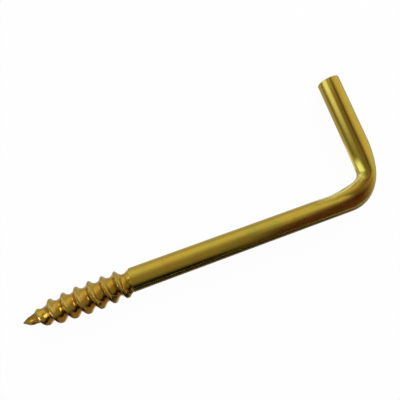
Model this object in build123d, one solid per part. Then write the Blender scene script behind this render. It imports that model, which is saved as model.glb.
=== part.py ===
"""Square hook: one piece of plated steel wire, bent square, with a rolled wood thread.

The shank lies along +X with its thread running to a gimlet point at -X. The
arm stands off the shank along +Y. The origin is on the shank's axis at the
shoulder, where the thread meets the plain wire, and +Z is up, off the surface
that the hook lies on.
"""
from build123d import *
import math
import os

# ---- wire and outline, in millimetres and degrees ----
wire_d = 3.0            # plain wire
hook_len = 50.0         # point to the outer side of the arm
arm_reach = 18.9        # outer side of the shank to the cut end of the arm
thread_len = 13.1       # point to shoulder
end_round = 0.14        # rounding of the arm's cut edge

# ---- bend: the wire is squeezed over a tight former ----
out_run = 6.4           # outer contour leaves the shank this far before the corner
out_rise = 8.6          # and meets the arm this far above it
out_run_pull = 0.87     # how hard each side pulls the outer contour to the corner
out_rise_pull = 0.21
in_run = 5.4            # inner side of the shank starts to swell this far before the corner
in_swell = 0.32         # swell where the inner contour starts to turn
in_turn = 3.0           # length over which it turns
in_rise = 1.9           # inner contour meets the arm this far above the corner
in_rise_pull = 0.71
fan_run = 0.9           # sections fan about a point this far before the inner corner
fan_rise = 1.9          # and this far above it
bend_bulge = 0.06       # share by which the squeezed wire grows across the bend

# ---- rolled wood thread ----
pitch = 1.6
crest_d = 3.78
last_crest_d = 3.62     # crest at the end of the ridge
crest_flat = 0.14       # width of the rolled crest
ridge_base = 1.0        # width of the ridge where it leaves the core
core_d = 2.62
neck_d = 2.26           # waist between the last crest and the shoulder
flare_len = 1.5         # length of the hollow flare from the waist to the shoulder
shoulder_step = 0.1     # the flare stops this far under the wire's surface
taper_len = 7.6         # point to where core and crest reach full size
gimlet_len = 3.2        # steep part of the point
gimlet_d = 2.04         # core at the end of the steep part
gimlet_crest_d = 3.16   # crest there
nose_len = 0.6          # blunt nose of the point
nose_d = 0.84
tip_d = 0.16
first_crest = 0.5       # ridge starts this far from the point
last_crest = 0.42       # crest centre at the end of the ridge, before the shoulder
runout_turn = 0.34      # the ridge sinks into the core over this part of a turn
crest_phase = -0.1      # crest crosses the arm's side of the shank this far past the shoulder
ridge_sink = 0.16       # the ridge's foot lies this far under the core's surface
thread_lean = 1.5       # degrees by which the thread leans away from the arm
thread_drop = 0.06      # the thread is rolled this far off the shank's axis at the shoulder

# ---- derived ----
wire_r = wire_d / 2
core_r = core_d / 2
crest_r = crest_d / 2
neck_r = neck_d / 2
arm_x = hook_len - thread_len - wire_r
arm_len = arm_reach - wire_r
bend_start = arm_x + wire_r - max(out_run, in_run + wire_d)
bend_end = out_rise - wire_r
flare_r = wire_r - shoulder_step
lap = 0.3               # overlap of neighbouring bodies before they are fused
ridge_start = (first_crest - thread_len - crest_phase) / pitch
ridge_end = (-last_crest - crest_phase) / pitch
run_steps = 5           # sections along each straight end of the bend
fan_steps = 15          # sections round its corner
spans_per_turn = 1      # the ridge is laid in spans of this many to a turn
steps_per_span = 24


def mix(a: float, b: float, t: float) -> float:
    """Return the value a share t of the way from a to b."""
    return a + (b - a) * t


def along(stations: list, x: float) -> float:
    """Return the radius at x on straight lines drawn through (x, radius) stations."""
    if x <= stations[0][0]:
        return stations[0][1]
    for (xa, ra), (xb, rb) in zip(stations, stations[1:]):
        if x <= xb:
            return mix(ra, rb, (x - xa) / (xb - xa))
    return stations[-1][1]


def bezier(a: tuple, b: tuple, c: tuple, d: tuple, t: float) -> tuple:
    """Return the point at t on a cubic curve with ends a and d."""
    s = 1 - t
    wa, wb, wc, wd = s ** 3, 3 * s * s * t, 3 * s * t * t, t ** 3
    return tuple(wa * i + wb * j + wc * k + wd * m for i, j, k, m in zip(a, b, c, d))


# ---------------------------------------------------------------- bend
def outer_contour(t: float) -> tuple:
    """Return the outer side of the bend at t, from 0 at the shank to 1 at the arm."""
    x, y = arm_x + wire_r, -wire_r
    return bezier((x - out_run, y), (x - out_run * (1 - out_run_pull), y),
                  (x, y + out_rise * (1 - out_rise_pull)), (x, y + out_rise), t)


def inner_contour(t: float) -> tuple:
    """Return the inner side of the bend at t, swelling ahead of its tight corner."""
    x, y = arm_x - wire_r, wire_r
    return bezier((x - in_run, y), (x - in_turn, y + in_swell),
                  (x, y + in_rise * (1 - in_rise_pull)), (x, y + in_rise), t)


def cut(contour, pivot: tuple, angle: float, straight: tuple, square: tuple) -> tuple:
    """Return where a section line meets one side of the bend.

    Args:
        contour: curve of this side.
        pivot: a point that the section line passes through.
        angle: degrees by which the section line has turned, 0 across the shank.
        straight: a point on this side of the straight shank.
        square: a point on this side of the straight arm.
    """
    nx, ny = math.cos(math.radians(angle)), math.sin(math.radians(angle))

    def ahead(point: tuple) -> float:
        return (point[0] - pivot[0]) * nx + (point[1] - pivot[1]) * ny

    if ahead(contour(0)) >= 0:
        return pivot[0] - (straight[1] - pivot[1]) * ny / nx, straight[1]
    if ahead(contour(1)) <= 0:
        return square[0], pivot[1] - (square[0] - pivot[0]) * nx / ny
    low, high = 0.0, 1.0
    for _ in range(40):
        middle = (low + high) / 2
        if ahead(contour(middle)) < 0:
            low = middle
        else:
            high = middle
    return contour(low)


def section(outer: tuple, inner: tuple, half_height: float) -> Wire:
    """Return an oval wire section between an outer and an inner point."""
    dx, dy = inner[0] - outer[0], inner[1] - outer[1]
    width = math.hypot(dx, dy)
    middle = ((outer[0] + inner[0]) / 2, (outer[1] + inner[1]) / 2, 0)
    plane = Plane(origin=middle, x_dir=(dx, dy, 0), z_dir=(dy, -dx, 0))
    quarters = []
    for start in (0, 90, 180, 270):
        quarters.append(Edge.make_ellipse(width / 2, half_height, plane, start, start + 90))
    return Wire(quarters)


def bend() -> Part:
    """Return the bend: oval sections fanned round the tight inner corner."""
    pivot = (arm_x - wire_r - fan_run, wire_r + fan_rise)
    stops = []
    for step in range(run_steps):
        stops.append(((mix(bend_start, pivot[0], step / run_steps), pivot[1]), 0))
    for step in range(fan_steps + 1):
        stops.append((pivot, 90 * step / fan_steps))
    for step in range(run_steps):
        stops.append(((pivot[0], mix(pivot[1], bend_end, (step + 1) / run_steps)), 90))
    sections = []
    for number, (point, angle) in enumerate(stops):
        outer = cut(outer_contour, point, angle, (0, -wire_r), (arm_x + wire_r, 0))
        inner = cut(inner_contour, point, angle, (0, wire_r), (arm_x - wire_r, 0))
        swell = 1 + bend_bulge * math.sin(math.pi * number / (len(stops) - 1)) ** 2
        sections.append(section(outer, inner, wire_r * swell))
    return Part() + Solid.make_loft(sections, ruled=True)


# ---------------------------------------------------------------- straight wire
def shank() -> Part:
    """Return the plain shank from the shoulder to the bend."""
    return Plane.YZ * extrude(Circle(wire_r), bend_start)


def arm() -> Part:
    """Return the plain arm from the bend to its cut end, with the cut edge rounded."""
    plane = Plane(origin=(arm_x, bend_end, 0), x_dir=(-1, 0, 0), z_dir=(0, 1, 0))
    wire = plane * extrude(Circle(wire_r), arm_len - bend_end)
    return fillet(wire.edges().sort_by(Axis.Y)[-1], end_round)


# ---------------------------------------------------------------- thread
core_stations = [
    (-thread_len, tip_d / 2),
    (nose_len - thread_len, nose_d / 2),
    (gimlet_len - thread_len, gimlet_d / 2),
    (taper_len - thread_len, core_r),
    (-flare_len - pitch, core_r),
    (-flare_len, neck_r),
]
crest_stations = [
    (first_crest - thread_len, nose_d / 2),
    (gimlet_len - thread_len, gimlet_crest_d / 2),
    (taper_len - thread_len, crest_r),
    (-flare_len - 2 * pitch, crest_r),
    (-last_crest, last_crest_d / 2),
]


def core() -> Part:
    """Return the core: gimlet point, taper, waist and hollow flare up to the wire."""
    taper = Polyline(*core_stations)
    waist = core_stations[-1]
    flare = Spline(waist, (-flare_len * 0.4, mix(neck_r, flare_r, 0.2)), (0, flare_r),
                   tangents=((1, 0), (0.35, 1)))
    foot = Polyline((0, flare_r), (lap, flare_r), (lap, 0), (-thread_len, 0), core_stations[0])
    return revolve(make_face(taper + flare + foot), Axis.X)


def ridge_corners(turn: float) -> list:
    """Return the ridge's four corner points at a turn: foot, crest, crest, foot."""
    x = crest_phase + pitch * turn
    low = along(core_stations, x)
    fade = min(1.0, (ridge_end - turn) / runout_turn)
    height = (along(crest_stations, x) - low) * math.sin(fade * math.pi / 2)
    height = max(height, -ridge_sink / 2)
    foot = low - min(ridge_sink, low / 2)
    slope = (ridge_base - crest_flat) / 2 / (crest_r - core_r)
    half = crest_flat / 2 + slope * (low + height - foot)
    angle = 2 * math.pi * turn
    corners = []
    for dx, r in ((-half, foot), (-crest_flat / 2, low + height), (crest_flat / 2, low + height), (half, foot)):
        corners.append((x + dx, r * math.cos(angle), r * math.sin(angle)))
    return corners


def ridge() -> Part:
    """Return the helical ridge, growing from the point and sinking in at the shoulder."""
    spans = math.ceil((ridge_end - ridge_start) * spans_per_turn)
    faces = []
    for span in range(spans):
        sections = []
        for step in range(steps_per_span + 1):
            share = (span + step / steps_per_span) / spans
            sections.append(ridge_corners(mix(ridge_start, ridge_end, share)))
        edges = [Spline(*rail).edge() for rail in zip(*sections)]
        for first, second in zip(edges, edges[1:] + edges[:1]):
            faces.append(Face.make_surface_from_curves(first, second))
    for turn in (ridge_start, ridge_end):
        faces.append(make_face(Polyline(*ridge_corners(turn), close=True)).face())
    return Part() + Solid(Shell(faces))


def thread() -> Part:
    """Return the threaded end, leaning slightly away from the arm at the shoulder."""
    return Pos(0, -thread_drop, 0) * Rot(0, 0, thread_lean) * (core() + ridge())


def square_hook() -> Part:
    """Return the whole hook as one solid."""
    return shank() + bend() + arm() + thread()


hook = square_hook()
os.makedirs("parts", exist_ok=True)
export_step(hook, "parts/square_hook.step")
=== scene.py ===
"""Square hook of brass-plated drawn steel wire, dressed on its CAD frame.

The hook is one length of wire: a rolled wood thread with a gimlet point, a
plain shank, a tight square bend and a plain arm with a sheared end. Its whole
surface is worked out with numpy on grids whose rows run along the wire and
whose columns run round it, and is welded into one closed mesh.
"""
import logging
import math
from dataclasses import dataclass, field
from enum import Enum

import bpy
import numpy as np
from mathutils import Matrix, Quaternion, Vector


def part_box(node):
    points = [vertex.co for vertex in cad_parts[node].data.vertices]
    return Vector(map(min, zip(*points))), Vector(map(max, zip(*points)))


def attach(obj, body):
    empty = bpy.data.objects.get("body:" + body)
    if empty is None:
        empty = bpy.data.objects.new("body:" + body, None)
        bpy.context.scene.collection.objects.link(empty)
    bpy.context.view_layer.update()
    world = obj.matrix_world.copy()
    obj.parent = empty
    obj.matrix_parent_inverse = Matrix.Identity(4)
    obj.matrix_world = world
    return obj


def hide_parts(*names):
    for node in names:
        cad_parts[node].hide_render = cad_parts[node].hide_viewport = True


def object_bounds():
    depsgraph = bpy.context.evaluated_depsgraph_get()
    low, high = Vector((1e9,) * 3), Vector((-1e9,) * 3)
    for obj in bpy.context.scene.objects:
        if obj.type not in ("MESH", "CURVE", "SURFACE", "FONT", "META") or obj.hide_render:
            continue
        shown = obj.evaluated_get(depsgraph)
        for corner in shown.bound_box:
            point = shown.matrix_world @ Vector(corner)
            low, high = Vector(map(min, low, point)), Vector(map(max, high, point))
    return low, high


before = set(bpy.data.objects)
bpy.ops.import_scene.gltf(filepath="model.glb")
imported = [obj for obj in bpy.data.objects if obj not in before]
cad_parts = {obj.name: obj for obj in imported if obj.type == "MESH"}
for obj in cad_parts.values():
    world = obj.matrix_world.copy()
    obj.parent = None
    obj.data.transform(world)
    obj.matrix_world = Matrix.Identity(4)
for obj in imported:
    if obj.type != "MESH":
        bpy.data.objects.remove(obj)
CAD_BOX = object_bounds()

LOG = logging.getLogger("square_hook")
MM = 0.001
NODE = "square_hook"
TINY = 1e-12                    # keeps a division sound where both distances are nought


class Mark(Enum):
    """A share from 0 to 1, kept on the mesh, that tells the finish where it is."""

    CREST = "crest"
    # the thread's roots, where the finish paints shade and the orange of brass reflecting brass
    ROOT = "root"
    CUT = "cut"
    ROLLED = "rolled"


# ------------------------------------------------------------------ small tools
def linear(code: str) -> tuple[float, float, float, float]:
    """Turn an sRGB hex colour into linear red, green, blue and a full alpha.

    Args:
        code: six hex digits after a hash.

    Returns:
        Four numbers from 0 to 1.
    """
    values = [int(code[start:start + 2], 16) / 255 for start in (1, 3, 5)]
    red, green, blue = (
        v / 12.92 if v <= 0.04045 else ((v + 0.055) / 1.055) ** 2.4 for v in values
    )
    return red, green, blue, 1.0


def smooth(low: float, high: float, x: np.ndarray) -> np.ndarray:
    """Rise from 0 at low to 1 at high with level ends: 3 t squared less 2 t cubed."""
    t = np.clip((x - low) / (high - low), 0.0, 1.0)
    return t * t * (3.0 - 2.0 * t)


def bump_over(x: np.ndarray, middle: float, width: float) -> np.ndarray:
    """Return a bell that is 1 at its middle: e to the minus square of the distance over width."""
    return np.exp(-(((x - middle) / width) ** 2))


def add_node(tree: bpy.types.NodeTree, kind: str, inputs: dict | None = None,
             **settings: object) -> bpy.types.Node:
    """Add one node, with its settings, its constants and its links.

    Args:
        tree: the node tree that it goes into.
        kind: the node's Blender type name.
        inputs: for each input, by name or number, a constant or another node's output.
        settings: properties of the node itself.

    Returns:
        The new node.
    """
    node = tree.nodes.new(kind)
    for name, value in settings.items():
        setattr(node, name, value)
    for name, value in (inputs or {}).items():
        if isinstance(value, bpy.types.NodeSocket):
            tree.links.new(value, node.inputs[name])
        else:
            node.inputs[name].default_value = value
    return node


def set_ramp(node: bpy.types.Node, stops: list[tuple[float, tuple]]) -> bpy.types.Node:
    """Give a colour ramp its stops.

    Args:
        node: the colour ramp node.
        stops: positions from 0 to 1 with their linear colours, in order.

    Returns:
        The same node.
    """
    elements = node.color_ramp.elements
    while len(elements) < len(stops):
        elements.new(0.5)
    for element, (position, colour) in zip(elements, stops):
        element.position = position
        element.color = colour
    return node


# ------------------------------------------------------------------ the wire's surface
@dataclass
class Skin:
    """One length of the wire's surface: rows run along the wire, columns round it.

    Attributes:
        place: rows x columns x 3, where each point is, in millimetres.
        straight: rows x columns x 3, where it was while the wire was straight.
        marks: rows x columns for each mark that isn't 0 there.
    """

    place: np.ndarray
    straight: np.ndarray
    marks: dict[Mark, np.ndarray] = field(default_factory=dict)

    def mark(self, name: Mark) -> np.ndarray:
        """Return one mark's shares, 0 where it was never set."""
        return self.marks.get(name, np.zeros(self.place.shape[:2]))


@dataclass(frozen=True)
class Gauge:
    """The drawn wire that the hook is formed from."""

    diameter: float = 3.0
    columns: int = 96

    @property
    def radius(self) -> float:
        """Half the diameter."""
        return self.diameter / 2

    @property
    def turns(self) -> np.ndarray:
        """Shares of a turn round the wire, from the arm's side, with the seam's column twice."""
        return np.arange(self.columns + 1) / self.columns

    @property
    def angles(self) -> np.ndarray:
        """The same shares as angles, whole turns closed exactly."""
        return 2 * np.pi * (np.arange(self.columns + 1) % self.columns) / self.columns

    def ring(self, x: np.ndarray, radius: np.ndarray) -> np.ndarray:
        """Place points round a straight wire along X.

        A point at angle a is at y = radius x cos a and z = radius x sin a.

        Args:
            x: distances along the wire, broadcast against rows x columns.
            radius: distances from its axis, likewise.

        Returns:
            rows x columns x 3 places.
        """
        x, radius, angle = np.broadcast_arrays(x, radius, self.angles)
        return np.stack([x, radius * np.cos(angle), radius * np.sin(angle)], axis=-1)


@dataclass(frozen=True)
class ThreadedEnd:
    """The rolled wood thread, its gimlet point and the flare up to the shoulder."""

    gauge: Gauge
    length: float = 13.1          # point to shoulder
    pitch: float = 1.6
    crest_d: float = 3.78
    last_crest_d: float = 3.62    # crest at the end of the ridge
    crest_flat: float = 0.04      # width of the rolled crest
    crest_round: float = 0.09     # rounding of its edges
    ridge_base: float = 0.86      # width of the ridge where it leaves the core
    root_round: float = 0.24      # rounding of its foot
    core_d: float = 2.62
    neck_d: float = 2.2           # waist between the last crest and the shoulder
    flare_len: float = 0.95       # length of the hollow flare from the waist to the shoulder
    shoulder_step: float = 0.04   # the flare stops this far under the wire's surface
    flare_ring: float = 0.03      # height of the rings that the dies leave on the flare
    flare_ring_pitch: float = 0.38
    flare_ring_in: tuple[float, float] = (-1.9, -1.3)    # x where they start, and are full
    flare_ring_out: tuple[float, float] = (-0.02, -0.2)  # x where they end, and are still full
    taper_len: float = 7.6        # point to where core and crest reach full size
    gimlet_len: float = 3.2       # steep part of the point
    gimlet_d: float = 2.04        # core at the end of the steep part
    gimlet_crest_d: float = 3.16  # crest there
    nose_len: float = 0.6         # blunt nose of the point
    nose_d: float = 0.84
    tip_d: float = 0.16
    first_crest: float = 0.5      # ridge starts this far from the point
    last_crest: float = 0.42      # crest centre at the end of the ridge, before the shoulder
    runout_turn: float = 0.34     # the ridge sinks into the core over this part of a turn
    crest_phase: float = -0.1     # x of the crest on the arm's side of the shank
    lean: float = 1.5             # degrees away from the arm
    drop: float = 0.06            # the thread is rolled this far off the shank's axis
    crest_wear: float = 0.012     # the plating and handling round the crest by this much
    waver: float = 0.02           # the ridge's height wavers by up to twice this share
    waver_rates: tuple[float, float] = (5.3, 1.7)        # radians for each turn
    waver_shift: float = 0.6      # radians between the two
    foot_rise: float = 0.12       # height of ridge over which its rounded foot comes in
    least_height: float = 0.05    # keeps the share of height sound where there is no ridge
    root_shade_share: float = 0.5       # below this share of the ridge's height the finish paints root shade
    root_shade_fade: float = -0.5       # x from which the painted root shade goes out to the shoulder
    die_mark: float = 0.018       # faint ridges that the rolling dies leave in the root
    die_mark_off: float = 0.6     # their distance from the crest
    die_mark_width: float = 0.055
    die_mark_in: tuple[float, float] = (1.0, 3.0)        # from the point, start and full
    die_mark_out: tuple[float, float] = (-0.5, -0.9)     # x where they end, and are still full
    rows_per_pitch: int = 30
    crest_density: float = 0.55   # how much closer the rows lie at a crest
    snap_share: float = 0.2       # of a row's spacing, within which a point joins an end ring
    nose_ring: float = 0.03       # first plain ring, from the point
    ring_start: float = 0.08      # plain rings from the point to here
    ring_end: float = 0.25        # plain rings from here to the shoulder
    ring_rows: int = 12

    def core(self, x: np.ndarray) -> np.ndarray:
        """Work out the core's radius: straight lines between stations, then the hollow flare.

        Back from the shoulder, the flare's depth grows as the sine of a quarter turn,
        so it leaves the neck level and meets the shoulder at its steepest. The dies'
        rings on it are one plus a cosine, halved.

        Args:
            x: distances along the axis.

        Returns:
            The core's radius at each.
        """
        stations = (
            (-self.length, self.tip_d),
            (self.nose_len - self.length, self.nose_d),
            (self.gimlet_len - self.length, self.gimlet_d),
            (self.taper_len - self.length, self.core_d),
            (-self.flare_len - self.pitch, self.core_d),
            (-self.flare_len, self.neck_d),
        )
        places, widths = zip(*stations)
        plain = np.interp(x, places, widths) / 2
        depth = np.sin(np.pi / 2 * np.clip(-x / self.flare_len, 0.0, 1.0))
        rings = (1 + np.cos(2 * np.pi * x / self.flare_ring_pitch)) / 2
        rings = rings * smooth(*self.flare_ring_in, x) * smooth(*self.flare_ring_out, x)
        rise = self.gauge.radius - self.shoulder_step - self.neck_d / 2
        return plain + rise * (1 - depth) + self.flare_ring * rings

    def crest(self, x: np.ndarray) -> np.ndarray:
        """Work out the crest's radius: straight lines between stations.

        Args:
            x: distances along the axis.

        Returns:
            The radius of the ridge's crest at each.
        """
        stations = (
            (self.first_crest - self.length, self.nose_d),
            (self.gimlet_len - self.length, self.gimlet_crest_d),
            (self.taper_len - self.length, self.crest_d),
            (-self.flare_len - 2 * self.pitch, self.crest_d),
            (-self.last_crest, self.last_crest_d),
        )
        places, widths = zip(*stations)
        return np.interp(x, places, widths) / 2

    def surface(self, x: np.ndarray, turn: np.ndarray) -> tuple[np.ndarray, np.ndarray, np.ndarray]:
        """Work out the threaded surface over the core.

        The nearest crest lies where x is the phase plus the pitch times its turn. Off
        it, the ridge falls in straight flanks, its corner rounded by taking a
        hypotenuse for the distance, and its foot by a soft maximum with the core.

        Args:
            x: distances along the axis.
            turn: shares of a turn round it.

        Returns:
            The radius, the share of the ridge's height, and the share of root, where the finish paints
            shade.
        """
        wound = (x - self.crest_phase) / self.pitch - turn
        nearest = np.round(wound)
        crest_turn = nearest + turn
        crest_x = self.crest_phase + self.pitch * crest_turn
        off = np.abs(wound - nearest) * self.pitch
        core = self.core(x)
        tall = self.crest(crest_x) - self.core(np.minimum(crest_x, -self.flare_len))
        first = (self.first_crest - self.length - self.crest_phase) / self.pitch
        last = (-self.last_crest - self.crest_phase) / self.pitch
        fade = np.clip((last - crest_turn) / self.runout_turn, 0.0, 1.0)
        fast, slow = self.waver_rates
        sway = np.sin(fast * crest_turn) * np.sin(slow * crest_turn + self.waver_shift)
        waver = 1 - self.waver * (1 + sway)
        height = np.where(crest_turn > first, tall * np.sin(fade * np.pi / 2) * waver, 0.0)
        slope = (self.ridge_base - self.crest_flat) / (self.crest_d - self.core_d)
        away = np.hypot(np.maximum(off - self.crest_flat / 2, 0.0), self.crest_round) - self.crest_round
        flank = height - away / slope
        soft = (flank + np.hypot(flank, self.root_round)) / 2
        soft = np.minimum(soft, np.maximum(height, 0.0)) * smooth(0.0, self.foot_rise, height)
        marks = self.die_mark * bump_over(off, self.die_mark_off, self.die_mark_width)
        first_mark, full_mark = self.die_mark_in
        marks = marks * smooth(-self.length + first_mark, -self.length + full_mark, x)
        marks = marks * smooth(*self.die_mark_out, x)
        share = np.clip(soft / np.maximum(tall, self.least_height), 0.0, 1.0)
        # The root share marks where the finish paints shade and brass-on-brass reflection into the
        # thread's hollows.
        root = (1 - smooth(0.0, self.root_shade_share, share)) * smooth(0.0, self.root_shade_fade, x)
        return core + soft + marks - self.crest_wear * share, share, root

    def set_over(self, place: np.ndarray) -> np.ndarray:
        """Lean the thread about the shoulder's middle and drop it off the shank's axis.

        It turns by its lean in the hook's plane, with cosine and sine, and then moves.

        Args:
            place: places on the straight thread, with x, y and z along the last axis.

        Returns:
            The same places on the leaning thread.
        """
        cos, sin = math.cos(math.radians(self.lean)), math.sin(math.radians(self.lean))
        x, y, z = np.moveaxis(place, -1, 0)
        return np.stack([cos * x - sin * y, sin * x + cos * y - self.drop, z], axis=-1)

    def dressed(self, x: np.ndarray, pole: bool = False) -> Skin:
        """Build a skin over given distances along the axis.

        Args:
            x: rows x columns distances.
            pole: whether the first row shrinks to a point.

        Returns:
            The skin, leaned and marked.
        """
        turn = np.broadcast_to(self.gauge.turns, x.shape).copy()
        turn[:, -1] = 0.0
        radius, share, root = self.surface(x, turn)
        if pole:
            radius[0] = 0.0
        straight = self.gauge.ring(x, radius)
        return Skin(self.set_over(straight), straight,
                    {Mark.CREST: share, Mark.ROOT: root, Mark.ROLLED: np.ones(x.shape)})

    def skins(self) -> list[Skin]:
        """Build the nose, the thread and the flare up to the shoulder.

        The thread's rows follow the helix: row and column give x as the phase plus the
        pitch times (row + column), with rows drawn together at the crests by a sine,
        and x is held at the ends, where the rows run into plain rings.

        Returns:
            The three skins, from the point on.
        """
        columns = self.gauge.columns + 1
        start, end = self.ring_start - self.length, -self.ring_end
        nose = np.array([-self.length, -self.length, self.nose_ring - self.length, start])
        first = math.floor((start - self.crest_phase) / self.pitch) - 1
        last = math.ceil((end - self.crest_phase) / self.pitch)
        rows = np.arange(first * self.rows_per_pitch, last * self.rows_per_pitch + 1)
        even = rows / self.rows_per_pitch
        wound = even - self.crest_density * np.sin(2 * np.pi * even) / (2 * np.pi)
        x = self.crest_phase + self.pitch * (wound[:, None] + self.gauge.turns)
        snap = self.snap_share * self.pitch / self.rows_per_pitch
        x = np.where(x < start + snap, start, np.where(x > end - snap, end, x))
        share = np.linspace(0.0, 1.0, self.ring_rows)
        rings = end + self.ring_end * np.sin(share * np.pi / 2)
        return [
            self.dressed(np.repeat(nose, columns).reshape(-1, columns), pole=True),
            self.dressed(x),
            self.dressed(np.repeat(rings, columns).reshape(-1, columns)),
        ]


@dataclass(frozen=True)
class Shank:
    """The plain wire from the shoulder to the bend."""

    gauge: Gauge
    end: float
    shoulder_round: float = 0.05
    corner_rows: int = 5
    first_ring: float = 0.3       # first of the even rings
    spacing: float = 0.6

    def skins(self) -> list[Skin]:
        """Build the shoulder's rounded corner as a quarter circle, then even rings.

        Returns:
            One skin, from the shoulder to the bend.
        """
        quarter = np.linspace(0.0, np.pi / 2, self.corner_rows)
        corner_x = self.shoulder_round * (1 - np.cos(quarter))
        corner_r = self.gauge.radius - self.shoulder_round * (1 - np.sin(quarter))
        count = math.ceil(self.end / self.spacing)
        x = np.concatenate([corner_x, np.linspace(self.first_ring, self.end, count)])
        radius = np.concatenate([corner_r, np.full(count, self.gauge.radius)])
        place = self.gauge.ring(x[:, None], radius[:, None])
        return [Skin(place, place)]


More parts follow.
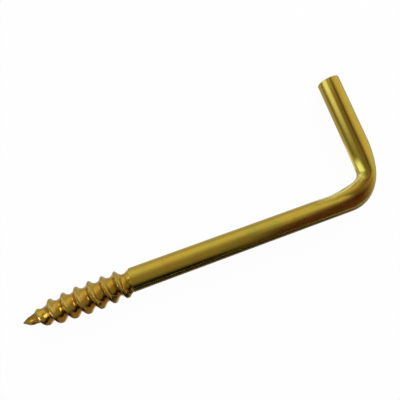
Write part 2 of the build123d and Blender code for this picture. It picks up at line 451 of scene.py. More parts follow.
@dataclass(frozen=True)
class Bend:
    """The square bend: the wire squeezed over a tight former."""

    gauge: Gauge
    arm_x: float                  # arm's axis
    out_run: float = 6.4          # outer contour leaves the shank this far before the corner
    out_rise: float = 8.6         # and meets the arm this far above it
    out_run_pull: float = 0.87    # how hard each side pulls the outer contour to the corner
    out_rise_pull: float = 0.21
    in_run: float = 5.4           # inner side of the shank starts to swell this far before it
    in_swell: float = 0.32        # swell where the inner contour starts to turn
    in_turn: float = 3.0          # length over which it turns
    in_rise: float = 1.9          # inner contour meets the arm this far above the corner
    in_rise_pull: float = 0.71
    fan_run: float = 1.05         # the section lines fan from a hub this far before the
    fan_rise: float = 2.47        # inner corner and this far above it
    rows: int = 92
    contour_points: int = 110
    arm_rises: float = 3.0        # a contour runs on up the arm to this many outer rises
    settle_rounds: int = 8        # rounds of moving points along their section lines
    settle_pace: float = 0.9      # share of the way that they move in a round

    @property
    def start(self) -> float:
        """Where the shank stops being plain."""
        return self.arm_x + self.gauge.radius - max(self.out_run, self.in_run + self.gauge.diameter)

    @property
    def end(self) -> float:
        """Where the arm starts to be plain."""
        return self.out_rise - self.gauge.radius

    def contour(self, corner: tuple[float, float], run: tuple[float, float], swell: float,
                rise: tuple[float, float]) -> np.ndarray:
        """Trace one side of the bend as a cubic curve, straightened out at both ends.

        The curve weighs its four points by (1-t) cubed, 3(1-t) squared t, 3(1-t) t
        squared and t cubed.

        Args:
            corner: where this side of the shank would meet this side of the arm.
            run: distances before the corner of the first two points.
            swell: how far the second point stands off the straight side.
            rise: distances above the corner of the last two points.

        Returns:
            points x 2 places, from the shoulder to far up the arm.
        """
        x, y = corner
        points = np.array([
            (x - run[0], y), (x - run[1], y + swell), (x, y + rise[0]), (x, y + rise[1])])
        t = np.linspace(0.0, 1.0, self.contour_points)
        weights = np.stack([(1 - t) ** 3, 3 * (1 - t) ** 2 * t, 3 * (1 - t) * t ** 2, t ** 3], axis=1)
        return np.concatenate([[(0.0, y)], weights @ points, [(x, self.arm_rises * self.out_rise)]])

    def crossings(self, contour: np.ndarray, pivot: np.ndarray, angle: np.ndarray) -> np.ndarray:
        """Find where each section line meets a contour.

        A section line passes through its pivot and has turned by its angle. The share
        ahead of it, the dot product of a point's offset with the line's normal, grows
        along the contour, so its zero is found by interpolation over all lines at once.

        Args:
            contour: points x 2.
            pivot: lines x 2.
            angle: radians by which each line has turned.

        Returns:
            lines x 2 places.
        """
        normal = np.stack([np.cos(angle), np.sin(angle)], axis=1)
        ahead = contour @ normal.T - np.sum(pivot * normal, axis=1)
        after = np.argmax(ahead > 0, axis=0).clip(1)
        lines = np.arange(len(angle))
        low, high = ahead[after - 1, lines], ahead[after, lines]
        share = (-low / (high - low))[:, None]
        return contour[after - 1] * (1 - share) + contour[after] * share

    @staticmethod
    def distance(place: np.ndarray, contour: np.ndarray) -> np.ndarray:
        """Return how far places lie from a contour, straight between its points.

        The nearest point of a stretch is its start plus the share of it that the dot
        product gives, kept from 0 to 1.

        Args:
            place: rows x columns x 2.
            contour: points x 2.

        Returns:
            rows x columns distances.
        """
        start, stretch = contour[:-1], np.diff(contour, axis=0)
        offset = place[..., None, :] - start
        share = np.clip(np.sum(offset * stretch, axis=-1) / np.sum(stretch ** 2, axis=1), 0.0, 1.0)
        return np.linalg.norm(offset - share[..., None] * stretch, axis=-1).min(axis=-1)

    def settle(self, out: np.ndarray, near: np.ndarray, outer: np.ndarray,
               inner: np.ndarray) -> np.ndarray:
        """Place points along the section lines as round wire would have them.

        At angle a, a point's share of the way is the difference of its distances to the
        outer and the inner contour over their sum, and it is moved along its line until
        that is cos a.

        Args:
            out: lines x 2, where each section line meets the outer contour.
            near: lines x 2, where it meets the inner contour.
            outer: points x 2.
            inner: points x 2.

        Returns:
            lines x columns x 2 places.
        """
        wanted = np.cos(self.gauge.angles) * np.ones((len(out), 1))
        spot = wanted
        for _ in range(self.settle_rounds):
            place = out[:, None] + (near - out)[:, None] * ((1 + spot) / 2)[..., None]
            to_outer, to_inner = self.distance(place, outer), self.distance(place, inner)
            share = (to_outer - to_inner) / (to_outer + to_inner + TINY)
            spot = np.clip(spot + self.settle_pace * (wanted - share), -1.0, 1.0)
        return out[:, None] + (near - out)[:, None] * ((1 + spot) / 2)[..., None]

    def skins(self) -> list[Skin]:
        """Build the bend on section lines that fan from a hub inside the corner.

        Each point's place in plan is settled between the contours for its angle a, and
        its height is the wire's radius times sin a.

        Returns:
            One skin, from the shank to the arm.
        """
        radius, arm_x = self.gauge.radius, self.arm_x
        hub = np.array([arm_x - radius - self.fan_run, radius + self.fan_rise])
        run, turn = hub[0] - self.start, math.pi / 2 * (radius + self.fan_rise)
        whole = run + turn + self.end - hub[1]
        along = np.linspace(0.0, whole, self.rows)
        angle = np.clip((along - run) / turn, 0.0, 1.0) * math.pi / 2
        pivot = np.stack([np.minimum(self.start + along, hub[0]),
                          hub[1] + np.maximum(along - run - turn, 0.0)], axis=1)
        outer = self.contour((arm_x + radius, -radius),
                             (self.out_run, self.out_run * (1 - self.out_run_pull)), 0.0,
                             (self.out_rise * (1 - self.out_rise_pull), self.out_rise))
        inner = self.contour((arm_x - radius, radius), (self.in_run, self.in_turn), self.in_swell,
                             (self.in_rise * (1 - self.in_rise_pull), self.in_rise))
        out = self.crossings(outer, pivot, angle)
        near = self.crossings(inner, pivot, angle)
        flat = self.settle(out, near, outer, inner)
        height = radius * np.sin(self.gauge.angles) * np.ones((self.rows, 1))
        place = np.concatenate([flat, height[..., None]], axis=-1)
        middle = (out + near) / 2
        steps = np.linalg.norm(np.diff(middle, axis=0), axis=1)
        wire = self.start + np.concatenate([[0.0], np.cumsum(steps)])
        return [Skin(place, self.gauge.ring(wire[:, None], radius))]


@dataclass(frozen=True)
class Arm:
    """The plain arm, square to the shank, and its sheared end."""

    gauge: Gauge
    x: float                      # its axis
    start: float
    end: float
    wire_run: float               # length of wire up to its start
    edge_round: float = 0.14
    edge_rows: int = 7
    face_rows: int = 16
    face_rim: tuple[float, float] = (0.9, 0.995)     # shares of the face over which its dip goes out
    shear_step: float = 0.05      # the blade leaves one half of the end this much lower
    shear_line: tuple[float, float] = (-0.2, 0.5)    # heights between which it steps
    shear_slant: float = 0.3      # how far that line slants across the face
    shear_tear: float = 0.015     # height of the torn ripple
    tear_rates: tuple[tuple[float, float], tuple[float, float]] = ((9.0, 3.0), (-2.0, 4.0))
    cut_rise: tuple[float, float] = (0.15, 1.6)      # the sheared look, full at 1, from the edge in
    spacing: float = 0.6

    def skins(self) -> list[Skin]:
        """Build even rings, a rounded edge and the end face down to its middle.

        The edge is a quarter circle. The end face dips where the wire sheared: a smooth
        step across it, plus a fine ripple that is one plus the product of two sines,
        each with its rates in radians for each millimetre across and up.

        Returns:
            One skin, from the bend to the middle of the end face.
        """
        radius, rounding = self.gauge.radius, self.edge_round
        count = math.ceil((self.end - rounding - self.start) / self.spacing)
        plain = np.linspace(self.start, self.end - rounding, count)
        quarter = np.linspace(0.0, np.pi / 2, self.edge_rows)[1:]
        face = np.linspace(1.0, 0.0, self.face_rows)[1:]
        y = np.concatenate([plain, self.end - rounding * (1 - np.sin(quarter)),
                            np.full(face.size, self.end)])
        r = np.concatenate([np.full(count, radius), radius - rounding * (1 - np.cos(quarter)),
                            (radius - rounding) * face])
        angle = self.gauge.angles
        across = r[:, None] * np.cos(angle)
        height = r[:, None] * np.sin(angle)
        inside = 1 - smooth(*self.face_rim, r / (radius - rounding))
        inside[:count + quarter.size] = 0.0
        one, other = (np.sin(wide * across + tall * height) for wide, tall in self.tear_rates)
        dip = (self.shear_step * smooth(*self.shear_line, height + self.shear_slant * across)
               + self.shear_tear * (1 + one * other))
        y_all = y[:, None] - inside[:, None] * dip
        place = np.stack([self.x - across, y_all, height], axis=-1)
        straight = np.stack([self.wire_run + y_all - self.start, across, height], axis=-1)
        cut = np.zeros(y_all.shape)
        cut[count:] = smooth(0.0, 1.0, np.linspace(*self.cut_rise, r.size - count))[:, None]
        return [Skin(place, straight, {Mark.CUT: cut})]


# ------------------------------------------------------------------ the finish
@dataclass(frozen=True)
class BrassPlate:
    """Thin bright brass plating over drawn low-carbon steel wire.

    The plating is too thin to level the steel, so the eye sees a yellow metal with
    the die's fine lines along the wire, olive and russet casts where the plating
    thins or thickens, and roots painted browner as shade and brass reflecting brass.
    """

    name: str = "brass_plated_drawn_steel"
    bright: str = "#c3a23b"
    olive: str = "#a59b3a"
    russet: str = "#bd8a32"
    rolled: str = "#c4a040"
    # painted shade and inter-reflection, darker and more orange, for the thread's roots
    root: str = "#b4842a"
    worn: str = "#94855c"
    sheared: str = "#b3a06a"
    streak_share: float = 0.45    # how far the streaks tint the casts
    rolled_share: float = 0.65    # how far the rolled thread has its own colour
    root_shade_share: float = 0.6       # likewise the painted shade in its roots,
    worn_share: float = 0.5       # the tops of its crests
    worn_from: float = 0.85       # above this share of the ridge's height,
    sheared_share: float = 0.8    # and the sheared end
    roughness: float = 0.22
    line_rough: tuple[float, float] = (-0.05, 0.07)   # what the lines take off and add
    rolled_rough: float = -0.04   # what rolling adds
    sheared_rough: float = 0.15   # what the shear's tearing adds
    draw_line: float = 0.12       # mm between the drawn lines that show
    draw_run: float = 14.0        # mm that a line runs on for
    streak: float = 0.48          # mm between the wider streaks of colour
    cloud: float = 2.6            # mm across a cast of colour
    pit: float = 0.25             # mm between the pits of the rolled thread
    pit_share: float = 0.1        # depth of the pits against the lines
    relief: float = 0.02          # mm from the bottom of a line to its top
    relief_share: float = 0.25    # how much of that the eye sees under the plating

    def build(self) -> bpy.types.Material:
        """Make the material: colour casts, drawn lines, painted shade in the roots and worn crests.

        Returns:
            The metal, which reads where it is from the mesh's own map and marks.
        """
        material = bpy.data.materials.new(self.name)
        material.use_nodes = True
        tree = material.node_tree
        tree.nodes.clear()
        wire = add_node(tree, "ShaderNodeAttribute", attribute_name="straight").outputs["Vector"]
        marks = {
            mark: add_node(tree, "ShaderNodeAttribute", attribute_name=mark.value).outputs["Fac"]
            for mark in Mark
        }
        # Drawn lines run along the wire, so their map is squeezed that way.
        along = add_node(tree, "ShaderNodeMapping", {
            "Vector": wire, "Scale": (self.draw_line / self.draw_run, 1.0, 1.0)}).outputs[0]
        lines = add_node(tree, "ShaderNodeTexNoise", {
            "Vector": along, "Scale": 1 / (self.draw_line * MM), "Detail": 3.0,
            "Roughness": 0.6}).outputs[0]
        shader = add_node(tree, "ShaderNodeBsdfPrincipled", {
            "Base Color": self.colour(tree, wire, along, marks),
            "Metallic": 1.0,
            "Roughness": self.rough(tree, lines, marks),
            "Normal": self.normal(tree, wire, lines, marks)})
        add_node(tree, "ShaderNodeOutputMaterial", {0: shader.outputs[0]})
        return material

    def colour(self, tree: bpy.types.NodeTree, wire: bpy.types.NodeSocket,
               along: bpy.types.NodeSocket,
               marks: dict[Mark, bpy.types.NodeSocket]) -> bpy.types.NodeSocket:
        """Mix the plating's casts with its streaks, then tint the thread, paint shade into its roots and
        tint the sheared end.

        Args:
            tree: the material's nodes.
            wire: place on the straight wire.
            along: the same, squeezed along the wire.
            marks: each mark's share.

        Returns:
            The base colour.
        """
        bands = add_node(tree, "ShaderNodeTexNoise", {
            "Vector": along, "Scale": 1 / (self.streak * MM), "Detail": 2.0}).outputs[0]
        clouds = add_node(tree, "ShaderNodeTexNoise", {
            "Vector": wire, "Scale": 1 / (self.cloud * MM), "Detail": 3.0}).outputs[0]
        olive, bright = linear(self.olive), linear(self.bright)
        cast = set_ramp(add_node(tree, "ShaderNodeValToRGB", {"Fac": clouds}), [
            (0.30, olive), (0.48, bright), (0.60, bright), (0.78, linear(self.russet))])
        streaks = set_ramp(add_node(tree, "ShaderNodeValToRGB", {"Fac": bands}), [
            (0.35, olive), (0.65, bright)])
        colour = add_node(tree, "ShaderNodeMix", {
            0: self.streak_share, 6: cast.outputs[0], 7: streaks.outputs[0]},
            data_type="RGBA").outputs[2]
        tints = (
            (Mark.ROLLED, 0.0, self.rolled_share, self.rolled),
            # painted shade and inter-reflection: the thread's roots darker and more orange
            (Mark.ROOT, 0.0, self.root_shade_share, self.root),
            (Mark.CREST, self.worn_from, self.worn_share, self.worn),
            (Mark.CUT, 0.0, self.sheared_share, self.sheared),
        )
        for mark, start, most, tint in tints:
            share = add_node(tree, "ShaderNodeMapRange", {
                0: marks[mark], 1: start, 2: 1.0, 3: 0.0, 4: most}).outputs[0]
            colour = add_node(tree, "ShaderNodeMix", {0: share, 6: colour, 7: linear(tint)},
                              data_type="RGBA").outputs[2]
        return colour

    def rough(self, tree: bpy.types.NodeTree, lines: bpy.types.NodeSocket,
              marks: dict[Mark, bpy.types.NodeSocket]) -> bpy.types.NodeSocket:
        """Roughen the plating in its lines and at the sheared end, and smooth the rolled thread.

        Args:
            tree: the material's nodes.
            lines: height of the drawn lines.
            marks: each mark's share.

        Returns:
            The roughness.
        """
        least, most = (self.roughness + change for change in self.line_rough)
        rough = add_node(tree, "ShaderNodeMapRange", {
            0: lines, 1: 0.3, 2: 0.7, 3: least, 4: most}).outputs[0]
        for mark, change in ((Mark.ROLLED, self.rolled_rough), (Mark.CUT, self.sheared_rough)):
            rough = add_node(tree, "ShaderNodeMath", {0: marks[mark], 1: change, 2: rough},
                             operation="MULTIPLY_ADD").outputs[0]
        return rough

    def normal(self, tree: bpy.types.NodeTree, wire: bpy.types.NodeSocket,
               lines: bpy.types.NodeSocket,
               marks: dict[Mark, bpy.types.NodeSocket]) -> bpy.types.NodeSocket:
        """Raise the drawn lines, which fade out on the thread, and add fine pits.

        Args:
            tree: the material's nodes.
            wire: place on the straight wire.
            lines: height of the drawn lines.
            marks: each mark's share.

        Returns:
            The bumped normal.
        """
        pits = add_node(tree, "ShaderNodeTexNoise", {
            "Vector": wire, "Scale": 1 / (self.pit * MM), "Detail": 3.0,
            "Roughness": 0.65}).outputs[0]
        plain = add_node(tree, "ShaderNodeMath", {0: 1.0, 1: marks[Mark.ROLLED]},
                         operation="SUBTRACT").outputs[0]
        line_relief = add_node(tree, "ShaderNodeMath", {0: lines, 1: plain},
                               operation="MULTIPLY").outputs[0]
        relief = add_node(tree, "ShaderNodeMath", {0: pits, 1: self.pit_share, 2: line_relief},
                          operation="MULTIPLY_ADD").outputs[0]
        return add_node(tree, "ShaderNodeBump", {
            "Strength": self.relief_share, "Distance": self.relief * MM,
            "Height": relief}).outputs[0]


# ------------------------------------------------------------------ the hook
@dataclass(frozen=True)
class SquareHook:
    """The whole hook: thread, shank, bend and arm welded into one closed mesh."""

    gauge: Gauge
    thread: ThreadedEnd
    shank: Shank
    bend: Bend
    arm: Arm
    finish: BrassPlate = field(default_factory=BrassPlate)
    weld_digits: int = 4          # decimals of a millimetre to which points at one place agree

    @classmethod
    def on_frame(cls, node: str) -> "SquareHook":
        """Size the hook from its CAD node's box.

        Args:
            node: the CAD node's name.

        Returns:
            A hook whose arm stands where the node's does.
        """
        _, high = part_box(node)
        gauge = Gauge()
        arm_x = high.x / MM - gauge.radius
        bend = Bend(gauge, arm_x)
        wire_run = bend.skins()[0].straight[-1, 0, 0]
        return cls(gauge, ThreadedEnd(gauge), Shank(gauge, bend.start), bend,
                   Arm(gauge, arm_x, bend.end, high.y / MM, wire_run))

    def skins(self) -> list[Skin]:
        """Return every length of the surface, from the point to the cut end."""
        parts = (self.thread, self.shank, self.bend, self.arm)
        return [skin for part in parts for skin in part.skins()]

    def corners(self, skins: list[Skin]) -> np.ndarray:
        """Lay triangles over all grids and between them.

        Each cell between rows i, i+1 and columns j, j+1 gives two triangles that turn
        anticlockwise from outside.

        Args:
            skins: the grids, in order along the wire.

        Returns:
            triangles x 3 numbers of grid points.
        """
        faces, offset = [], 0
        for skin in skins:
            rows, columns = skin.place.shape[:2]
            number = offset + np.arange(rows * columns).reshape(rows, columns)
            a, b = number[:-1, :-1], number[:-1, 1:]
            c, d = number[1:, 1:], number[1:, :-1]
            faces.append(np.stack([a, b, c], axis=-1).reshape(-1, 3))
            faces.append(np.stack([a, c, d], axis=-1).reshape(-1, 3))
            offset += rows * columns
        return np.concatenate(faces + self.bridges(skins))

    @staticmethod
    def bridges(skins: list[Skin]) -> list[np.ndarray]:
        """Join each grid's last row to the next grid's first row, column by column.

        Args:
            skins: the grids, in order along the wire.

        Returns:
            For each joint, two lots of triangles as numbers of grid points.
        """
        faces, offset = [], 0
        for skin, following in zip(skins, skins[1:]):
            rows, columns = skin.place.shape[:2]
            last = offset + (rows - 1) * columns + np.arange(columns)
            first = offset + rows * columns + np.arange(following.place.shape[1])
            faces.append(np.stack([last[:-1], last[1:], first[1:]], axis=-1))
            faces.append(np.stack([last[:-1], first[1:], first[:-1]], axis=-1))
            offset += rows * columns
        return faces

    def build(self) -> bpy.types.Object:
        """Weld the grids into one mesh, with its map and marks, and dress it.

        Points at the same place to a tenth of a micron become one, and triangles that
        this leaves without an area are dropped, which closes the seam and the poles.

        Returns:
            The hook's object.
        """
        skins = self.skins()
        place = np.concatenate([skin.place.reshape(-1, 3) for skin in skins])
        low, high = (np.array(corner) / MM for corner in CAD_BOX)
        place = np.clip(place, low, high)
        rounded = np.round(place, self.weld_digits)
        _, kept, number = np.unique(rounded, axis=0, return_index=True, return_inverse=True)
        number = number.reshape(-1)
        grid = self.corners(skins)
        faces = number[grid]
        whole = np.all(faces != np.roll(faces, 1, axis=1), axis=1)
        faces, grid = faces[whole], grid[whole]
        mesh = bpy.data.meshes.new(NODE + "_wire")
        mesh.from_pydata(place[kept] * MM, [], faces)
        mesh.shade_smooth()
        straight = np.concatenate([skin.straight.reshape(-1, 3) for skin in skins])
        self.add_map(mesh, straight, skins, grid)
        layer = mesh.attributes.new("straight", "FLOAT_VECTOR", "POINT")
        layer.data.foreach_set("vector", (straight[kept] * MM).astype(np.float32).ravel())
        for mark in Mark:
            values = np.concatenate([skin.mark(mark).ravel() for skin in skins])[kept]
            layer = mesh.attributes.new(mark.value, "FLOAT", "POINT")
            layer.data.foreach_set("value", values.astype(np.float32))
        mesh.materials.append(self.finish.build())
        mesh.validate()
        hook = bpy.data.objects.new("plated_hook", mesh)
        bpy.context.scene.collection.objects.link(hook)
        LOG.info("%s: %d points, %d faces", hook.name, len(mesh.vertices), len(mesh.polygons))
        return hook

    def add_map(self, mesh: bpy.types.Mesh, straight: np.ndarray, skins: list[Skin],
                grid: np.ndarray) -> None:
        """Unroll the wire: u is the share of its length, v the share of a turn round it.

        Args:
            mesh: the hook's mesh.
            straight: grid points x 3, where each was on the straight wire.
            skins: the grids, in order along the wire.
            grid: the mesh's triangles as numbers of grid points.
        """
        turns = np.concatenate([
            np.broadcast_to(self.gauge.turns, skin.place.shape[:2]).ravel() for skin in skins])
        run = straight[:, 0]
        share = (run - run.min()) / (run.max() - run.min())
        uv = np.stack([share, turns], axis=1)[grid.ravel()]
        layer = mesh.uv_layers.new(name="unrolled")
        layer.data.foreach_set("uv", uv.astype(np.float32).ravel())


# ------------------------------------------------------------------ the studio
@dataclass(frozen=True)
class BandFlag:
    """A soft-edged glowing card that stands round part of the hook, seen only in reflections, where its
    glow paints the metal's light and shade.

    It is a patch of a large ball round the hook, given by the way it lies from there.
    """

    name: str
    azimuth: float                # degrees from +X towards +Y, of its middle
    elevation: float              # degrees above the floor, of its middle
    half_width: float             # degrees
    half_height: float            # degrees
    soft: tuple[float, float]     # degrees of fade at its sides, and at its top and bottom
    colour: str
    cover: float = 1.0            # how dense its middle is
    distance: float = 320.0       # mm
    strength: float = 1.0         # how strongly it glows
    columns: int = 73
    rows: int = 49

    def build(self, centre: Vector) -> bpy.types.Object:
        """Lay the card on a grid of azimuth and elevation and fade its edges.

        Args:
            centre: the hook's middle, in metres.

        Returns:
            The card's object.
        """
        across, up = np.meshgrid(np.linspace(-1, 1, self.columns) * self.half_width,
                                 np.linspace(-1, 1, self.rows) * self.half_height)
        azimuth, elevation = np.radians(self.azimuth + across), np.radians(self.elevation + up)
        place = ball(azimuth, elevation, self.distance, centre)
        fade = (smooth(self.half_width, self.half_width - self.soft[0], np.abs(across))
                * smooth(self.half_height, self.half_height - self.soft[1], np.abs(up)))
        return build_card(self.name, place, fade * self.cover, self.colour, self.strength)


@dataclass(frozen=True)
class PanelFlag:
    """A soft-edged flat glowing card, seen only in the metal's reflections, where its glow paints their
    light and shade.
    """

    name: str
    corner: tuple[float, float, float]   # mm
    across: tuple[float, float, float]   # mm, from the corner along one edge
    up: tuple[float, float, float]       # mm, from the corner along the other
    soft: tuple[float, float, float, float]   # mm of fade at the ends of across, then of up
    colour: str
    cover: float = 1.0            # how dense its middle is
    strength: float = 1.0         # how strongly it glows
    one_sided: bool = False       # whether it shows only from its front
    fade_rows: int = 17

    def lines(self, length: float, first: float, last: float) -> np.ndarray:
        """Return distances along an edge, close together where the card fades."""
        steps = np.linspace(0.0, 1.0, self.fade_rows)
        return np.unique(np.concatenate([steps * first, length - last * steps]))

    def build(self, _centre: Vector) -> bpy.types.Object:
        """Lay the card on a grid of its two edges and fade it at all four.

        A point is the corner plus its share of each edge, and its cover is the product
        of the four fades.

        Returns:
            The card's object.
        """
        across, up = np.array(self.across), np.array(self.up)
        wide, tall = float(np.linalg.norm(across)), float(np.linalg.norm(up))
        s, t = np.meshgrid(self.lines(wide, *self.soft[:2]), self.lines(tall, *self.soft[2:]))
        place = np.array(self.corner) + (s / wide)[..., None] * across + (t / tall)[..., None] * up
        fade = (smooth(0, self.soft[0], s) * smooth(0, self.soft[1], wide - s)
                * smooth(0, self.soft[2], t) * smooth(0, self.soft[3], tall - t))
        return build_card(self.name, place * MM, fade * self.cover, self.colour,
                          self.strength, self.one_sided)


def ball(azimuth: np.ndarray, elevation: np.ndarray, distance: float, centre: Vector) -> np.ndarray:
    """Return places on a ball: distance times the cosines and sines of azimuth and elevation.

    Args:
        azimuth: radians from +X towards +Y.
        elevation: radians above the floor.
        distance: the ball's radius in millimetres.
        centre: its middle in metres.

    Returns:
        Places in metres, with x, y and z along the last axis.
    """
    way = np.stack([np.cos(elevation) * np.cos(azimuth), np.cos(elevation) * np.sin(azimuth),
                    np.sin(elevation)], axis=-1)
    return way * distance * MM + np.array(centre)


def build_card(name: str, place: np.ndarray, cover: np.ndarray, colour: str,
               strength: float = 1.0, one_sided: bool = False) -> bpy.types.Object:
    """Make a glowing card from a grid of places, hidden from everything but reflections, in which it
    paints light and shade.

    Args:
        name: the card's name.
        place: rows x columns x 3, in metres.
        cover: rows x columns, how dense the card is.
        colour: its sRGB hex colour, glowing as a lit card would look.
        strength: how strongly it glows, 1 for a card painted as lit by the fill.
        one_sided: whether it shows only from the side that its across and up edges,
            turned anticlockwise, face.

    Returns:
        The card's object.
    """
    rows, columns = place.shape[:2]
    number = np.arange(rows * columns).reshape(rows, columns)
    faces = np.stack([number[:-1, :-1], number[:-1, 1:], number[1:, 1:], number[1:, :-1]], axis=-1)
    mesh = bpy.data.meshes.new(name)
    mesh.from_pydata(place.reshape(-1, 3), [], faces.reshape(-1, 4))
    layer = mesh.attributes.new("cover", "FLOAT", "POINT")
    layer.data.foreach_set("value", cover.astype(np.float32).ravel())
    material = bpy.data.materials.new(name + "_felt")
    material.use_nodes = True
    tree = material.node_tree
    tree.nodes.clear()
    share = add_node(tree, "ShaderNodeAttribute", attribute_name="cover").outputs["Fac"]
    if one_sided:
        behind = add_node(tree, "ShaderNodeNewGeometry").outputs["Backfacing"]
        front = add_node(tree, "ShaderNodeMath", {0: 1.0, 1: behind}, operation="SUBTRACT").outputs[0]
        share = add_node(tree, "ShaderNodeMath", {0: share, 1: front}, operation="MULTIPLY").outputs[0]
    clear = add_node(tree, "ShaderNodeBsdfTransparent").outputs[0]
    # painted glow: the card's colour stands in for a lit card and paints the metal's reflected light and
    # shade
    painted_glow = add_node(tree, "ShaderNodeEmission", {"Color": linear(colour), "Strength": strength}).outputs[0]
    mixed = add_node(tree, "ShaderNodeMixShader", {0: share, 1: clear, 2: painted_glow}).outputs[0]
    add_node(tree, "ShaderNodeOutputMaterial", {0: mixed})
    mesh.materials.append(material)
    card = bpy.data.objects.new(name, mesh)
    card.visible_camera = False
    card.visible_diffuse = False
    card.visible_shadow = False
    card.visible_transmission = False
    bpy.context.scene.collection.objects.link(card)
    LOG.info("%s: card", name)
    return card


@dataclass(frozen=True)
class Lamp:
    """A soft box."""

    name: str
    place: tuple[float, float, float]   # mm
    aim: tuple[float, float, float]     # mm
    size: float                         # mm
    level: float                        # how bright a white floor looks under it alone
    reflected: bool = True              # whether the metal shows it

    def build(self) -> bpy.types.Object:
        """Make an area lamp whose power gives its level where it is aimed.

        A white surface that faces the lamp at distance d shows a brightness of power
        over pi squared d squared.

        Returns:
            The lamp's object.
        """
        data = bpy.data.lights.new(self.name, "AREA")
        data.shape = "SQUARE"
        data.size = self.size * MM
        place, aim = Vector(self.place) * MM, Vector(self.aim) * MM
        data.energy = self.level * (math.pi * (aim - place).length) ** 2
        lamp = bpy.data.objects.new(self.name, data)
        lamp.location = place
        lamp.rotation_mode = "QUATERNION"
        lamp.rotation_quaternion = (aim - place).to_track_quat("-Z", "Y")
        lamp.visible_camera = False
        lamp.visible_glossy = self.reflected
        bpy.context.scene.collection.objects.link(lamp)
        LOG.info("%s: lamp of %.3f W", self.name, data.energy)
        return lamp


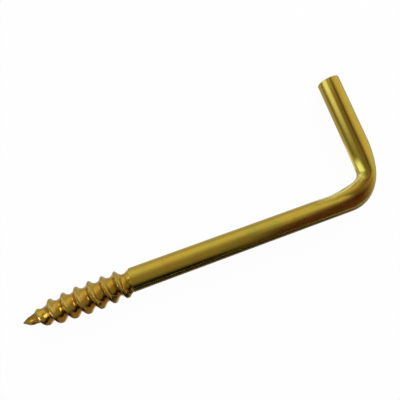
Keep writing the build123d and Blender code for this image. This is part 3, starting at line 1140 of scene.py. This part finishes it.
@dataclass(frozen=True)
class Studio:
    """A plain white floor and surround, a soft box, and glowing cards for the metal to reflect, which
    paint its light and shade.
    """

    floor_colour: str = "#fdfdfd"
    floor_light: str = "#fefefe"  # its palest fibres
    fibre: float = 0.25           # mm across a fibre
    floor_half: float = 3.0       # metres
    floor_glow: float = 0.97      # how much of the floor's look is plain white
    fill_level: float = 0.5       # how bright the surround is where it only lights
    lamps: tuple[Lamp, ...] = (
        Lamp("key_box", (250.0, 260.0, 230.0), (16.0, 4.0, 0.0), 420.0, 0.5, False),
    )
    flags: tuple[BandFlag | PanelFlag, ...] = (
        # Far cards: a dark one in front, a wine-coloured one past the bend, a window past the point.
        BandFlag("front_flag", 239.0, 26.0, 78.0, 57.0, (11.0, 8.0), "#020206"),
        BandFlag("corner_flag", 321.0, 30.0, 38.0, 59.0, (38.0, 23.0), "#67103f",
                 cover=0.9, distance=300.0),
        BandFlag("daylight_window", 172.0, 10.0, 22.0, 10.0, (10.0, 7.0), "#e6ebff",
                 distance=280.0, strength=3.0),
        # Wide cards low over the hook, which give the wire its dark side and its brown and grey bands.
        PanelFlag("grey_card", (-70.0, -80.0, 6.6), (96.0, 0.0, 0.0), (0.0, 87.6, 0.0),
                  (10.0, 10.6, 10.0, 8.1), "#a79f93"),
        PanelFlag("black_card", (-70.0, -80.0, 6.3), (97.7, 0.0, 0.0), (0.0, 78.9, 0.0),
                  (10.0, 16.2, 10.0, 10.0), "#040d34"),
        PanelFlag("brown_card", (9.5, -80.0, 6.0), (33.5, 0.0, 0.0), (0.0, 84.4, 0.0),
                  (24.5, 7.3, 10.0, 4.8), "#644248"),
        # By the arm: a dark line over it, and what its inner side sees across the throat.
        PanelFlag("arm_line_card", (33.0, -2.9, 5.9), (5.0, 0.0, 0.0), (0.0, 27.0, 0.0),
                  (0.9, 4.5, 1.7, 6.9), "#560400"),
        PanelFlag("throat_panel", (31.5, 3.2, -1.86), (0.0, 20.7, 0.0), (0.0, 0.0, 15.9),
                  (0.4, 10.1, 0.01, 0.5), "#938e88", one_sided=True),
        PanelFlag("silver_card", (31.51, 4.0, -0.4), (0.0, 26.0, 0.0), (0.0, 0.0, 4.3),
                  (17.0, 3.0, 1.5, 1.5), "#bdccff", strength=3.4, one_sided=True),
        # Round the bend: small bright cards that carry the highlight from the arm to the shank.
        PanelFlag("bend_silver_card", (31.62, 1.6, -3.2), (0.0, 4.1, 0.0), (0.0, 0.0, 5.5),
                  (2.2, 1.6, 1.5, 2.0), "#bed5ff", strength=3.5, one_sided=True),
        PanelFlag("corner_floor_card", (27.3, 1.2, -1.854), (4.2, 0.0, 0.0), (0.0, 4.6, 0.0),
                  (1.8, 0.2, 1.6, 1.6), "#bed5ff", strength=2.0),
        PanelFlag("corner_low_card", (32.2, 5.5, -1.86), (1.3, -0.75, 0.0), (0.0, 0.0, 0.9),
                  (0.3, 0.15, 0.01, 0.3), "#bed5ff", strength=3.0, one_sided=True),
        PanelFlag("corner_turn_card", (30.9, 6.0, -1.86), (2.1, -1.25, 0.0), (0.0, 0.0, 2.8),
                  (0.3, 0.3, 0.01, 0.9), "#bed5ff", strength=2.3, one_sided=True),
        PanelFlag("corner_far_card", (31.6, 11.2, -1.86), (2.25, -1.3, 0.0), (0.0, 0.0, 2.6),
                  (0.3, 0.2, 0.01, 0.8), "#bed5ff", strength=2.0, one_sided=True),
        PanelFlag("corner_mid_card", (32.1, 6.6, -1.86), (1.4, -0.8, 0.0), (0.0, 0.0, 1.2),
                  (0.3, 0.15, 0.01, 0.4), "#bed5ff", strength=2.8, one_sided=True),
        PanelFlag("corner_high_card", (31.7, 8.4, -1.86), (2.15, -1.24, 0.0), (0.0, 0.0, 3.2),
                  (0.3, 0.6, 0.01, 1.2), "#bed5ff", strength=1.9, one_sided=True),
        PanelFlag("corner_paper_card", (32.7, 3.6, -1.86), (2.2, 0.0, 0.0), (0.0, 5.0, 0.0),
                  (0.6, 0.5, 0.6, 1.6), "#ffffff", strength=1.15),
        # By the thread: windows for its glints, a dull card off the tip, cards in front and below.
        PanelFlag("thread_window", (-20.0, -5.5, 1.0), (0.0, 6.8, 0.0), (0.0, 0.0, 5.25),
                  (1.2, 1.2, 0.8, 0.01), "#eef0ff", strength=3.0, one_sided=True),
        PanelFlag("thread_window_top", (-20.0, -4.6, 5.95), (9.5, 0.0, 0.0), (0.0, 5.4, 0.0),
                  (0.01, 4.5, 1.5, 1.0), "#eef0ff", strength=4.0),
        PanelFlag("tip_card", (-13.5, -3.2, -1.86), (0.0, 6.0, 0.0), (0.0, 0.0, 4.3),
                  (1.0, 1.0, 0.01, 0.9), "#a59d90", one_sided=True),
        PanelFlag("thread_front_card", (-0.6, -4.0, -1.86), (-13.4, 0.0, 0.0), (0.0, 0.0, 3.2),
                  (0.6, 0.8, 0.01, 1.4), "#a88c7c", one_sided=True),
        PanelFlag("thread_floor_card", (-14.0, -3.6, -1.86), (13.6, 0.0, 0.0), (0.0, 3.6, 0.0),
                  (0.8, 0.5, 1.0, 0.8), "#ece0da"),
        # On the floor: a light grey card all round, and a dark one in front.
        PanelFlag("floor_card", (-150.0, -150.0, -1.868), (300.0, 0.0, 0.0), (0.0, 300.0, 0.0),
                  (60.0, 60.0, 60.0, 60.0), "#d4d4d4"),
        PanelFlag("front_floor_card", (-90.0, -90.0, -1.862), (139.7, 0.0, 0.0), (0.0, 93.0, 0.0),
                  (10.0, 19.2, 10.0, 11.0), "#221f2c"),
    )

    def build(self) -> None:
        """Build the floor, the surround, the lamps and the cards."""
        low, high = CAD_BOX
        self.build_floor(low.z)
        self.build_surround()
        for lamp in self.lamps:
            lamp.build()
        centre = (low + high) / 2
        for flag in self.flags:
            flag.build(centre)

    @staticmethod
    def seen_share(tree: bpy.types.NodeTree) -> bpy.types.NodeSocket:
        """Tell the rays that are seen from those that only light.

        Args:
            tree: the node tree that asks.

        Returns:
            1 for rays from the camera, a reflection or a refraction, and 0 for others.
        """
        path = add_node(tree, "ShaderNodeLightPath")
        seen = add_node(tree, "ShaderNodeMath", {
            0: path.outputs["Is Camera Ray"], 1: path.outputs["Is Glossy Ray"]}, operation="MAXIMUM")
        return add_node(tree, "ShaderNodeMath", {
            0: seen.outputs[0], 1: path.outputs["Is Transmission Ray"]}, operation="MAXIMUM").outputs[0]

    def build_floor(self, height: float) -> bpy.types.Object:
        """Lay matt white paper under the hook, which keeps the hook's faint shadow.

        Args:
            height: the floor's height in metres.

        Returns:
            The floor's object.
        """
        reach = self.floor_half
        x, y = np.meshgrid([-reach, reach], [-reach, reach])
        place = np.stack([x, y, np.full(x.shape, height)], axis=-1).reshape(-1, 3)
        mesh = bpy.data.meshes.new("paper_floor")
        mesh.from_pydata(place, [], [(0, 1, 3, 2)])
        material = bpy.data.materials.new("matt_white_paper")
        material.use_nodes = True
        tree = material.node_tree
        tree.nodes.clear()
        spot = add_node(tree, "ShaderNodeTexCoord").outputs["Object"]
        fibre = add_node(tree, "ShaderNodeTexNoise", {
            "Vector": spot, "Scale": 1 / (self.fibre * MM)}).outputs[0]
        tone = set_ramp(add_node(tree, "ShaderNodeValToRGB", {"Fac": fibre}), [
            (0.3, linear(self.floor_colour)), (0.7, linear(self.floor_light))]).outputs[0]
        paper = add_node(tree, "ShaderNodeBsdfDiffuse", {"Color": tone}).outputs[0]
        white = add_node(tree, "ShaderNodeEmission", {
            "Color": linear("#ffffff"), "Strength": 1.0}).outputs[0]
        share = add_node(tree, "ShaderNodeMath", {
            0: self.seen_share(tree), 1: self.floor_glow}, operation="MULTIPLY").outputs[0]
        mixed = add_node(tree, "ShaderNodeMixShader", {0: share, 1: paper, 2: white}).outputs[0]
        add_node(tree, "ShaderNodeOutputMaterial", {0: mixed})
        mesh.materials.append(material)
        floor = bpy.data.objects.new("paper_floor", mesh)
        bpy.context.scene.collection.objects.link(floor)
        LOG.info("%s: floor", floor.name)
        return floor

    def build_surround(self) -> None:
        """Surround the set with white, dimmed to the fill's level where it only lights."""
        world = bpy.data.worlds.new("white_surround")
        world.use_nodes = True
        tree = world.node_tree
        tree.nodes.clear()
        level = add_node(tree, "ShaderNodeMapRange", {
            0: self.seen_share(tree), 1: 0.0, 2: 1.0, 3: self.fill_level, 4: 1.0}).outputs[0]
        white = add_node(tree, "ShaderNodeBackground", {"Color": linear("#ffffff"), "Strength": level})
        add_node(tree, "ShaderNodeOutputWorld", {0: white.outputs[0]})
        bpy.context.scene.world = world
        LOG.info("%s: surround", world.name)


@dataclass(frozen=True)
class ViewCamera:
    """The camera, nearly over the hook and turned about its own axis."""

    place: tuple[float, float, float] = (5.848, 0.898, 38.494)   # mm
    aim: tuple[float, float, float] = (11.364, 6.699, 0.0)       # mm
    roll: float = 24.26                                          # degrees
    lens: float = 26.882                                         # mm
    sensor: float = 36.0                                         # mm across
    clip: tuple[float, float] = (0.001, 20.0)                    # metres that it sees between

    def build(self) -> bpy.types.Object:
        """Make the camera and make it the scene's own.

        Returns:
            The camera's object.
        """
        data = bpy.data.cameras.new("view_camera")
        data.lens = self.lens
        data.sensor_width = self.sensor
        data.clip_start, data.clip_end = self.clip
        camera = bpy.data.objects.new("view_camera", data)
        place, aim = Vector(self.place) * MM, Vector(self.aim) * MM
        turn = Quaternion((0, 0, 1), math.radians(self.roll))
        camera.location = place
        camera.rotation_mode = "QUATERNION"
        camera.rotation_quaternion = (aim - place).to_track_quat("-Z", "Y") @ turn
        bpy.context.scene.collection.objects.link(camera)
        bpy.context.scene.camera = camera
        LOG.info("%s: camera", camera.name)
        return camera


def main() -> None:
    """Build the view, the studio and the hook, and put the hook on its frame."""
    logging.basicConfig(level=logging.INFO, format="%(name)s: %(message)s")
    bpy.context.scene.view_settings.view_transform = "Standard"
    ViewCamera().build()
    Studio().build()
    hook = SquareHook.on_frame(NODE).build()
    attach(hook, "root")
    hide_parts(NODE)


if __name__ == "__main__":
    main()
